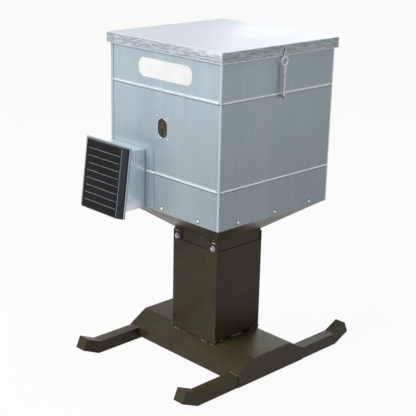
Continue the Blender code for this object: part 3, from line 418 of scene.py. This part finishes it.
def sweep(shape, points, radius_at, sides=8):
    """A closed round bar along points; radius_at(share) is its radius."""
    rings = []
    count = len(points)
    for index, point in enumerate(points):
        ahead = points[min(index + 1, count - 1)] - points[max(index - 1, 0)]
        turn = ahead.to_track_quat("Z", "Y")
        radius = radius_at(index / (count - 1))
        rings.append([shape.verts.new(point + turn @ Vector((radius * math.cos(math.tau * k / sides),
                                                             radius * math.sin(math.tau * k / sides), 0)))
                      for k in range(sides)])
    for low, high in zip(rings, rings[1:]):
        for k in range(sides):
            shape.faces.new((low[k], low[(k + 1) % sides], high[(k + 1) % sides], high[k]))
    shape.faces.new(rings[0][::-1])
    shape.faces.new(rings[-1])


def closed_tube(shape, points, radius, sides=10):
    """A round tube whose ends meet."""
    count = len(points)
    rings = []
    for index, point in enumerate(points):
        turn = (points[(index + 1) % count] - points[index - 1]).to_track_quat("X", "Y")
        rings.append([shape.verts.new(point + turn @ Vector((0, radius * math.cos(math.tau * k / sides),
                                                             radius * math.sin(math.tau * k / sides))))
                      for k in range(sides)])
    for index, low in enumerate(rings):
        high = rings[(index + 1) % count]
        shift = min(range(sides), key=lambda k: (high[k].co - low[0].co).length)
        for k in range(sides):
            shape.faces.new((low[k], low[(k + 1) % sides], high[(k + 1 + shift) % sides], high[(k + shift) % sides]))


def lathe(shape, profile, matrix, sides=24):
    """A solid of revolution about Z, closed at its axis ends, moved by the matrix."""
    rings = []
    for radius, height in profile:
        if radius == 0:
            rings.append([shape.verts.new(matrix @ Vector((0, 0, height)))])
        else:
            rings.append([shape.verts.new(matrix @ Vector((radius * math.cos(math.tau * k / sides),
                                                           radius * math.sin(math.tau * k / sides), height)))
                          for k in range(sides)])
    for low, high in zip(rings, rings[1:]):
        for k in range(sides):
            after = (k + 1) % sides
            corners = [low[k % len(low)], low[after % len(low)], high[after % len(high)], high[k % len(high)]]
            shape.faces.new(list(dict.fromkeys(corners)))


def facing(location, normal):
    return Matrix.Translation(location) @ Vector(normal).to_track_quat("Z", "Y").to_matrix().to_4x4()


# ---------------------------------------------------------------- fasteners

RIVET_PROFILE = [(0, 0.0048), (0.0022, 0.0045), (0.0042, 0.0034), (0.0054, 0.0016), (0.0062, 0.0006),
                 (0.0064, HAIR), (0, HAIR)]


def rivets(name, spots, normal, body="stand", scale=1.0):
    for index, spot in enumerate(spots, 1):
        # The dome, near white as a painted highlight.
        shape = bmesh.new()
        profile = [(radius * scale, height * scale if height > HAIR else HAIR) for radius, height in RIVET_PROFILE]
        lathe(shape, profile, facing(spot, normal))
        new_piece(f"{name}_{index}", shape, RIVET_HIGHLIGHT_LOOK, body)
        # A dark ring round the dome: painted shadow.
        shape = bmesh.new()
        shade_rim = 0.0088 * scale
        lathe(shape, [(0, 0.0005), (shade_rim * 0.9, 0.0005), (shade_rim, HAIR), (0, HAIR)], facing(spot, normal))
        new_piece(f"{name}_shade_{index}", shape, SHADE_AND_SEAM_LOOK, body)


def hopper_rivets():
    height = HOPPER_BOTTOM + 0.016
    reach = (-0.2, 0, 0.2)
    half = HOPPER_HALF
    rivets("front_rivet", [(COLUMN_X + along, -half, height) for along in reach[1:]], (0, -1, 0))
    rivets("rear_rivet", [(COLUMN_X + along, half, height) for along in reach], (0, 1, 0))
    rivets("right_rivet", [(COLUMN_X + half, along, height) for along in reach], (1, 0, 0))
    rivets("left_rivet", [(COLUMN_X - half, along, height) for along in reach], (-1, 0, 0))


def hinge_screws():
    low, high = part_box("lid_hinge_wall_leaf")
    spots = [(low.y + 0.03 + (high.y - low.y - 0.06) * k / 5) for k in range(6)]
    leaf_x = -HOPPER_HALF + COLUMN_X - 0.0015
    rivets("wall_leaf_rivet", [(leaf_x, y, low.z + 0.014) for y in spots], (-1, 0, 0), scale=0.55)
    low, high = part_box("lid_hinge_lid_leaf")
    leaf_x = high.x - 0.0003 - 0.0012
    rivets("lid_leaf_rivet", [(leaf_x, y, high.z - 0.009) for y in spots], (-1, 0, 0), "lid", scale=0.5)


# ---------------------------------------------------------------- welds

def weld(name, start, end, radius, look=WELD_LOOK, wobble=0.35, pitch=0.004):
    """A lumpy bead from start to end, half sunk in the joint that it fills."""
    start, end = Vector(start), Vector(end)
    length = (end - start).length
    count = max(6, int(length / pitch * 4))
    points = []
    for index in range(count + 1):
        share = index / count
        drift = Vector((noise.noise(start + Vector((share * 9, 0, 1))), noise.noise(start + Vector((0, share * 9, 5))),
                        noise.noise(start + Vector((3, 0, share * 9)))))
        points.append(start.lerp(end, share) + drift * radius * 0.35)

    def radius_at(share):
        ends = min(1, 6 * min(share, 1 - share) + 0.35)
        return radius * ends * (1 - wobble * 0.5 * (1 - math.cos(math.tau * share * length / pitch)) * 0.5)

    shape = bmesh.new()
    sweep(shape, points, radius_at)
    new_piece(name, shape, look, "stand")


def stand_welds():
    base_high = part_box("base_channel")[1]
    skid_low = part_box("skid_right")[0]
    top = base_high.z
    foot = column_low.z
    half = COLUMN_HALF
    for side, label in ((-1, "front"), (1, "rear")):
        for index, (start, end) in enumerate(((-0.118, -0.082), (-0.062, -0.036), (0.046, 0.080), (0.100, 0.124)), 1):
            weld(f"column_weld_{label}_{index}", (COLUMN_X + start, side * half, foot),
                 (COLUMN_X + end, side * half, foot), 0.0022)
    for side, label in ((-1, "left"), (1, "right")):
        for index, (start, end) in enumerate(((-0.100, -0.082), (-0.036, 0.026), (0.076, 0.100)), 1):
            weld(f"column_weld_{label}_{index}", (COLUMN_X + side * half, start, top),
                 (COLUMN_X + side * half, end, top), 0.0022)
    end_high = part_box("base_end_plate_right")[1]
    skid_top = skid_low.z + 0.0508
    for side, label in ((-1, "left"), (1, "right")):
        outer = COLUMN_X + side * (end_high.x - COLUMN_X - 0.003)
        inner = COLUMN_X + side * (end_high.x - COLUMN_X - 0.0545)
        for front, end in ((-1, "front"), (1, "rear")):
            edge = front * base_high.y
            weld(f"skid_top_weld_{end}_{label}", (inner, edge, skid_top), (outer, edge, skid_top), 0.0024)
            face = COLUMN_X + side * (end_high.x - COLUMN_X)
            weld(f"end_plate_weld_{end}_{label}", (face - side * 0.0012, edge, 0.004),
                 (face - side * 0.0012, edge, 0.018), 0.0022)
        weld(f"end_plate_tack_{label}", (face - side * 0.001, -0.008, 0.0030),
             (face - side * 0.001, 0.008, 0.0030), 0.0020)
    for index, (x, y) in enumerate(((1, -1), (-1, -1), (1, 1), (-1, 1)), 1):
        spot = Vector((COLUMN_X + x * half, y * half, top + 0.001))
        weld(f"column_corner_weld_{index}", spot, spot + Vector((x * 0.002, 0, 0.006)), 0.0026)
    neck_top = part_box("neck_collar")[1].z
    for side, label in ((-1, "front"), (1, "rear")):
        for order, start in enumerate((-0.116, -0.05, 0.03, 0.096), 1):
            weld(f"neck_weld_{label}_{order}", (COLUMN_X + start, side * 0.1238, neck_top),
                 (COLUMN_X + start + 0.02, side * 0.1238, neck_top), 0.0018)


# ---------------------------------------------------------------- hopper details

def rounded_outline(width, height, radius, steps=10):
    points = []
    for corner_x, corner_z, first in ((1, 1, 0), (-1, 1, 90), (-1, -1, 180), (1, -1, 270)):
        for step in range(steps + 1):
            angle = math.radians(first + 90 * step / steps)
            points.append(Vector((corner_x * (width / 2 - radius) + radius * math.cos(angle), 0,
                                  corner_z * (height / 2 - radius) + radius * math.sin(angle))))
    return points


def hopper_label():
    """The blank label: a thin white plate with round ends."""
    width, height, thick = 0.293, 0.072, 0.0004
    centre = Vector((COLUMN_X + 0.0105, -HOPPER_HALF - HAIR, 1.212))
    shape = bmesh.new()
    outline = rounded_outline(width, height, 0.031)
    back = shape.faces.new([shape.verts.new(centre + point) for point in outline])
    front = bmesh.ops.extrude_face_region(shape, geom=[back])
    moved = [item for item in front["geom"] if isinstance(item, bmesh.types.BMVert)]
    bmesh.ops.translate(shape, verts=moved, vec=(0, -thick, 0))
    new_piece("blank_label", shape, LABEL_LOOK, "stand", angle=60)


def corner_folds():
    """The rounded folds at the wrap's two corners, lighter than the sheet as a painted highlight."""
    radius = 0.0040
    low, high = HOPPER_BOTTOM + 0.001, lid_low.z + 0.02
    for front, label in ((-1, "front"), (1, "rear")):
        spot = Vector((COLUMN_X + HOPPER_HALF - radius * 0.75, front * (HOPPER_HALF - radius * 0.75), 0))
        shape = bmesh.new()
        points = [spot + Vector((0, 0, low + (high - low) * k / 4)) for k in range(5)]
        sweep(shape, points, lambda share: radius, sides=20)
        new_piece(f"corner_fold_{label}", shape, EDGE_HIGHLIGHT_LOOK, "stand")


def bar(name, start, end, radius, look, body="stand"):
    shape = bmesh.new()
    start, end = Vector(start), Vector(end)
    sweep(shape, [start.lerp(end, k / 4) for k in range(5)], lambda share: radius, sides=12)
    new_piece(name, shape, look, body)


def lid_corners():
    """Folded corners of the lid's rim, lighter than the sheet as a painted highlight."""
    for index, (x, y) in enumerate(((lid_low.x, lid_low.y), (lid_high.x, lid_low.y), (lid_high.x, lid_high.y),
                                    (lid_low.x, lid_high.y)), 1):
        inward = Vector((COLUMN_X - x, -y, 0)).normalized() * 0.0021
        bar(f"lid_corner_{index}", Vector((x, y, lid_low.z + 0.001)) + inward,
            Vector((x, y, lid_high.z - 0.001)) + inward, 0.0018, EDGE_HIGHLIGHT_LOOK, "lid")


def bead_lines():
    """A painted highlight along the crest and a painted shade line in the crease of each rolled bead, and the dark lap
    line of the side seams.
    """
    half = HOPPER_HALF
    for level, label in ((0.813, "lower"), (1.138, "upper")):
        for rise, out, radius, look, kind in ((0.0010, BEAD_STAND - 0.0012, 0.0028, RIVET_HIGHLIGHT_LOOK, "crest"),
                                              (-0.0056, 0.0001, 0.0016, SHADE_AND_SEAM_LOOK, "crease")):
            z = level + rise
            front_start = -0.041 if label == "lower" else -half + 0.022
            runs = {"front": ((COLUMN_X + front_start, -half - out), (COLUMN_X + half - 0.006, -half - out)),
                    "right": ((COLUMN_X + half + out, -half + 0.006), (COLUMN_X + half + out, half - 0.006)),
                    "rear": ((COLUMN_X + half - 0.006, half + out), (COLUMN_X - half + 0.022, half + out)),
                    "left": ((COLUMN_X - half - out, half - 0.006), (COLUMN_X - half - out, -half + 0.006))}
            for face, (start, end) in runs.items():
                bar(f"bead_{kind}_{label}_{face}", (*start, z), (*end, z), radius, look)
    seam_x = COLUMN_X - 0.287
    for side, label in ((-1, "front"), (1, "rear")):
        bar(f"seam_line_{label}", (seam_x, side * half, HOPPER_BOTTOM + 0.002), (seam_x, side * half, lid_low.z + 0.01),
            0.0011, SHADE_AND_SEAM_LOOK)


def lid_edges():
    """Folded edges round the lid's top and the hem round its rim, lighter than the sheet as a painted highlight."""
    for level, radius, label in ((lid_high.z - 0.0016, 0.0016, "top"), (lid_low.z + 0.0016, 0.0018, "hem")):
        inset = radius * 0.8
        corners = [Vector((x, y, level)) for x, y in ((lid_low.x + inset, lid_low.y + inset),
                   (lid_high.x - inset, lid_low.y + inset), (lid_high.x - inset, lid_high.y - inset),
                   (lid_low.x + inset, lid_high.y - inset))]
        for index, start in enumerate(corners):
            end = corners[(index + 1) % 4]
            shape = bmesh.new()
            sweep(shape, [start.lerp(end, k / 4) for k in range(5)], lambda share: radius, sides=12)
            new_piece(f"lid_{label}_edge_{index + 1}", shape, EDGE_HIGHLIGHT_LOOK, "lid")


def flange_bead():
    """The lower bead carried on over the control box's right flange, near white as a painted highlight."""
    height = 0.813
    start = Vector((COLUMN_X - 0.093, -HOPPER_HALF - 0.0012, height))
    end = Vector((COLUMN_X - 0.044, -HOPPER_HALF - 0.0012, height))
    shape = bmesh.new()
    sweep(shape, [start.lerp(end, k / 6) for k in range(7)],
          lambda share: 0.0042 if 0 < share < 1 else 0.0015, sides=14)
    new_piece("flange_bead", shape, RIVET_HIGHLIGHT_LOOK, "stand")


def latch_link():
    """The two wire strands from the ring up to the hole in the lid's rim."""
    low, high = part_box("latch_hook")
    middle = (low + high) / 2
    ring_low, ring_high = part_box("latch_ring")
    plane = (ring_low.x + ring_high.x) / 2
    for side, label in ((-1, "front"), (1, "rear")):
        bottom = Vector((plane, middle.y + side * 0.0070, low.z + 0.001))
        top = Vector((plane, middle.y + side * 0.0014, min(high.z, RIM_HOLE_HEIGHT - 0.006)))
        shape = bmesh.new()
        sweep(shape, [bottom.lerp(top, k / 5) for k in range(6)], lambda share: 0.0010)
        new_piece(f"latch_strand_{label}", shape, ZINC_LOOK, "latch_pull")
    # Painted shade: a dark disc on the lid's rim for the hole of the latch.
    shape = bmesh.new()
    lathe(shape, [(0, 0.0003), (0.0042, 0.0003), (0.0044, 0.0001), (0, 0.0001)],
          facing((lid_high.x, middle.y, RIM_HOLE_HEIGHT), (1, 0, 0)))
    new_piece("rim_hole_shade", shape, BATTERY_LOOK, "lid")
    # The pull ring, thick wire near white as a painted highlight.
    wire = 0.0022
    centre, reach = (ring_low + ring_high) / 2, (ring_high.z - ring_low.z) / 2 - wire
    around = [centre + Vector((0, reach * math.cos(math.tau * k / 40), reach * math.sin(math.tau * k / 40)))
              for k in range(40)]
    shape = bmesh.new()
    closed_tube(shape, around, wire)
    new_piece("pull_ring", shape, RIVET_HIGHLIGHT_LOOK, "latch_pull")
    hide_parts("latch_ring")


def ear_highlights():
    """Weld ends over the column's bolted ears and the collar, near white as a painted highlight."""
    low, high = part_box("column_bolt_front_left")
    bolt_level = (low.z + high.z) / 2
    for index, (x, y) in enumerate(((-0.108, -1), (0.108, -1), (-0.108, 1), (0.108, 1)), 1):
        spot = Vector((COLUMN_X + x, y * (COLUMN_HALF + 0.0006), bolt_level + 0.0245))
        weld(f"ear_weld_{index}", spot - Vector((0.010, 0, 0)), spot + Vector((0.010, 0, 0)), 0.0016, RIVET_HIGHLIGHT_LOOK)


def window_rim():
    """The rolled edge round the sight window, lighter than the sheet as a painted highlight."""
    width, length = 0.053, 0.077
    shape = bmesh.new()
    radius = width / 2
    reach = length / 2 - radius
    centre = Vector((COLUMN_X, -HOPPER_HALF - 0.0004, 0.995))
    points = []
    steps = 48
    for step in range(steps):
        angle = math.tau * step / steps
        end = reach if math.sin(angle) >= 0 else -reach
        points.append(centre + Vector((radius * math.cos(angle), 0, end + radius * math.sin(angle))))
    closed_tube(shape, points, 0.0011)
    new_piece("window_rim", shape, EDGE_HIGHLIGHT_LOOK, "stand")


# ---------------------------------------------------------------- latch spring

def coil_spring():
    """A close-wound spring in place of the plain tube."""
    low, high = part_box("latch_spring")
    centre = (low + high) / 2
    wire = 0.0008
    radius = (high.x - low.x) / 2 - wire
    pitch = 2.15 * wire
    turns = (high.z - low.z - 2 * wire) / pitch
    per_turn = 14
    count = int(turns * per_turn)
    points = [Vector((centre.x + radius * math.cos(math.tau * k / per_turn),
                      centre.y + radius * math.sin(math.tau * k / per_turn),
                      low.z + wire + pitch * k / per_turn)) for k in range(count + 1)]
    shape = bmesh.new()
    sweep(shape, points, lambda share: wire, sides=7)
    spring = new_piece("latch_coil", shape, SPRING_LOOK, None)
    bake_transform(spring)
    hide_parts("latch_spring")


# ---------------------------------------------------------------- solar panel

def door_axes():
    """The slanted door's own axes: across, out of the panel, and up the slant."""
    joint = JOINTS["control_door_hinge"]
    up = -Vector(joint["axis"]).normalized()
    across = Vector((1, 0, 0))
    outward = up.cross(across).normalized()
    return across, -outward if outward.y > 0 else outward, up


def slab(name, centre, across, outward, up, size, look):
    """A thin block on the door, size (width, height, thickness), with slightly rounded edges."""
    shape = bmesh.new()
    bmesh.ops.create_cube(shape, size=1)
    width, height, thick = size
    turn = Matrix((across, outward, up)).transposed().to_4x4()
    shape.transform(Matrix.Translation(centre) @ turn @ Matrix.Diagonal((width, thick, height, 1)))
    bmesh.ops.bevel(shape, geom=shape.edges[:], offset=min(size) * 0.3, segments=1, affect="EDGES")
    return new_piece(name, shape, look, "control_door")


def solar_details():
    across, outward, up = door_axes()
    glass = NODES["solar_panel_glass"].data.vertices
    spots = [vertex.co for vertex in glass]
    span = {axis: (min(spot.dot(axis_vector) for spot in spots), max(spot.dot(axis_vector) for spot in spots))
            for axis, axis_vector in (("x", across), ("out", outward), ("up", up))}
    face = span["out"][1]
    left, right = span["x"]
    low, high = span["up"]
    rows = 9
    pitch = (high - low) / rows

    def at(x, out, z):
        return across * x + outward * out + up * z

    line_left, line_right = left + 0.012, right - 0.006
    for row in range(1, rows):
        centre = at((line_left + line_right) / 2, face + HAIR, low + pitch * row)
        slab(f"cell_line_{row}", centre, across, outward, up, (line_right - line_left, 0.0011, HAIR),
             BUS_LOOK)
    # The door's folded edge: a light bar as a painted highlight.
    sheet = [vertex.co for vertex in NODES["control_box_door"].data.vertices]
    edge_x = max(spot.dot(across) for spot in sheet) - 0.0008
    edge_out = max(spot.dot(outward) for spot in sheet) - 0.0010
    edge_low, edge_high = min(spot.dot(up) for spot in sheet), max(spot.dot(up) for spot in sheet)
    shape = bmesh.new()
    sweep(shape, [at(edge_x, edge_out, edge_low + 0.001 + (edge_high - edge_low - 0.002) * k / 4) for k in range(5)],
          lambda share: 0.0013, sides=12)
    new_piece("door_edge_fold", shape, EDGE_HIGHLIGHT_LOOK, "control_door")
    # Painted highlight: light grey strips along the panel's left and right edges.
    for side, edge in (("left", left - 0.0012), ("right", right + 0.0012)):
        centre = at(edge, face + HAIR, (low + high) / 2)
        slab(f"panel_edge_highlight_{side}", centre, across, outward, up, (0.0014, high - low, 0.0004),
             BUS_LOOK)


# ---------------------------------------------------------------- floor, light and camera

def path_switch(tree, nodes):
    """1 for camera, glossy and transmission rays."""
    rays = nodes.new("ShaderNodeLightPath")
    total = rays.outputs["Is Camera Ray"]
    for other in ("Is Glossy Ray", "Is Transmission Ray"):
        joined = nodes.new("ShaderNodeMath")
        joined.operation = "MAXIMUM"
        tree.links.new(total, joined.inputs[0])
        tree.links.new(rays.outputs[other], joined.inputs[1])
        total = joined.outputs[0]
    return total


def floor():
    shape = bmesh.new()
    bmesh.ops.create_grid(shape, x_segments=4, y_segments=4, size=30)
    mesh = bpy.data.meshes.new("floor")
    shape.to_mesh(mesh)
    shape.free()
    ground = bpy.data.objects.new("floor", mesh)
    ground.location.z = -0.0005
    bpy.context.scene.collection.objects.link(ground)
    look = bpy.data.materials.new("floor_look")
    look.use_nodes = True
    tree = look.node_tree
    shader = tree.nodes["Principled BSDF"]
    shader.inputs["Base Color"].default_value = (0.55, 0.55, 0.55, 1)
    shader.inputs["Roughness"].default_value = 0.9
    shader.inputs["Specular IOR Level"].default_value = 0
    glow = tree.nodes.new("ShaderNodeEmission")
    glow.inputs["Color"].default_value = (1, 1, 1, 1)
    share = tree.nodes.new("ShaderNodeMath")
    share.operation = "MULTIPLY"
    share.inputs[1].default_value = 0.94
    tree.links.new(path_switch(tree, tree.nodes), share.inputs[0])
    blend = tree.nodes.new("ShaderNodeMixShader")
    tree.links.new(share.outputs[0], blend.inputs[0])
    tree.links.new(shader.outputs[0], blend.inputs[1])
    tree.links.new(glow.outputs[0], blend.inputs[2])
    tree.links.new(blend.outputs[0], tree.nodes["Material Output"].inputs["Surface"])
    mesh.materials.append(look)


def world():
    made = bpy.data.worlds.new("studio")
    made.use_nodes = True
    bpy.context.scene.world = made
    tree = made.node_tree
    soft = tree.nodes["Background"]
    soft.inputs["Color"].default_value = (0.93, 0.96, 1.0, 1)
    soft.inputs["Strength"].default_value = 0.24
    white = tree.nodes.new("ShaderNodeBackground")
    white.inputs["Color"].default_value = (1, 1, 1, 1)
    blend = tree.nodes.new("ShaderNodeMixShader")
    tree.links.new(path_switch(tree, tree.nodes), blend.inputs[0])
    tree.links.new(soft.outputs[0], blend.inputs[1])
    tree.links.new(white.outputs[0], blend.inputs[2])
    tree.links.new(blend.outputs[0], tree.nodes["World Output"].inputs["Surface"])


def area_light(name, location, target, size, energy, colour=(1, 1, 1)):
    light = bpy.data.lights.new(name, "AREA")
    light.size = size
    light.energy = energy
    light.color = colour
    lamp = bpy.data.objects.new(name, light)
    lamp.location = location
    lamp.rotation_euler = (Vector(target) - Vector(location)).to_track_quat("-Z", "Y").to_euler()
    bpy.context.scene.collection.objects.link(lamp)


def camera():
    lens = bpy.data.cameras.new("camera")
    lens.lens = CAMERA_LENS
    lens.sensor_width = 36
    made = bpy.data.objects.new("camera", lens)
    turn = (Matrix.Rotation(CAMERA_AZIMUTH, 4, "Z") @ Matrix.Rotation(math.pi / 2 - CAMERA_ELEVATION, 4, "X")
            @ Matrix.Rotation(CAMERA_ROLL, 4, "Z"))
    made.matrix_world = Matrix.Translation(CAMERA_FROM_COLUMN + Vector((COLUMN_X, 0, 0))) @ turn
    bpy.context.scene.collection.objects.link(made)
    bpy.context.scene.camera = made


def lights():
    middle = (COLUMN_X, 0, 0.75)
    area_light("key", (-1.5, -3.9, 3.4), middle, 2.6, 212, (1.0, 0.99, 0.97))
    area_light("top", (0.3, -0.2, 4.4), middle, 2.6, 56, (0.97, 0.99, 1.0))
    area_light("side", (4.2, 0.6, 1.9), middle, 2.2, 9, (1.0, 0.97, 0.90))
    area_light("back", (-2.0, 3.8, 2.4), middle, 2.6, 22, (0.98, 0.99, 1.0))


camera()
dress_nodes()
for skid in ("skid_left", "skid_right"):
    softened(skid, 0.0045, 3)
for node_name, radius in (("base_channel", 0.0022), ("base_end_plate_left", 0.0008), ("base_end_plate_right", 0.0008),
                          ("column", 0.0011), ("neck_collar", 0.0011), ("lid", 0.0003), ("control_box", 0.0003),
                          ("control_box_door", 0.0004), ("solar_panel_frame", 0.0010)):
    softened(node_name, radius)
for cap in ("left_front", "left_rear", "right_front", "right_rear"):
    softened(f"skid_cap_{cap}", 0.0010)
hopper_rivets()
hinge_screws()
stand_welds()
hopper_label()
corner_folds()
lid_edges()
lid_corners()
bead_lines()
flange_bead()
latch_link()
ear_highlights()
window_rim()
coil_spring()
solar_details()
floor()
world()
lights()

scene = bpy.context.scene
scene.view_settings.view_transform = "Standard"
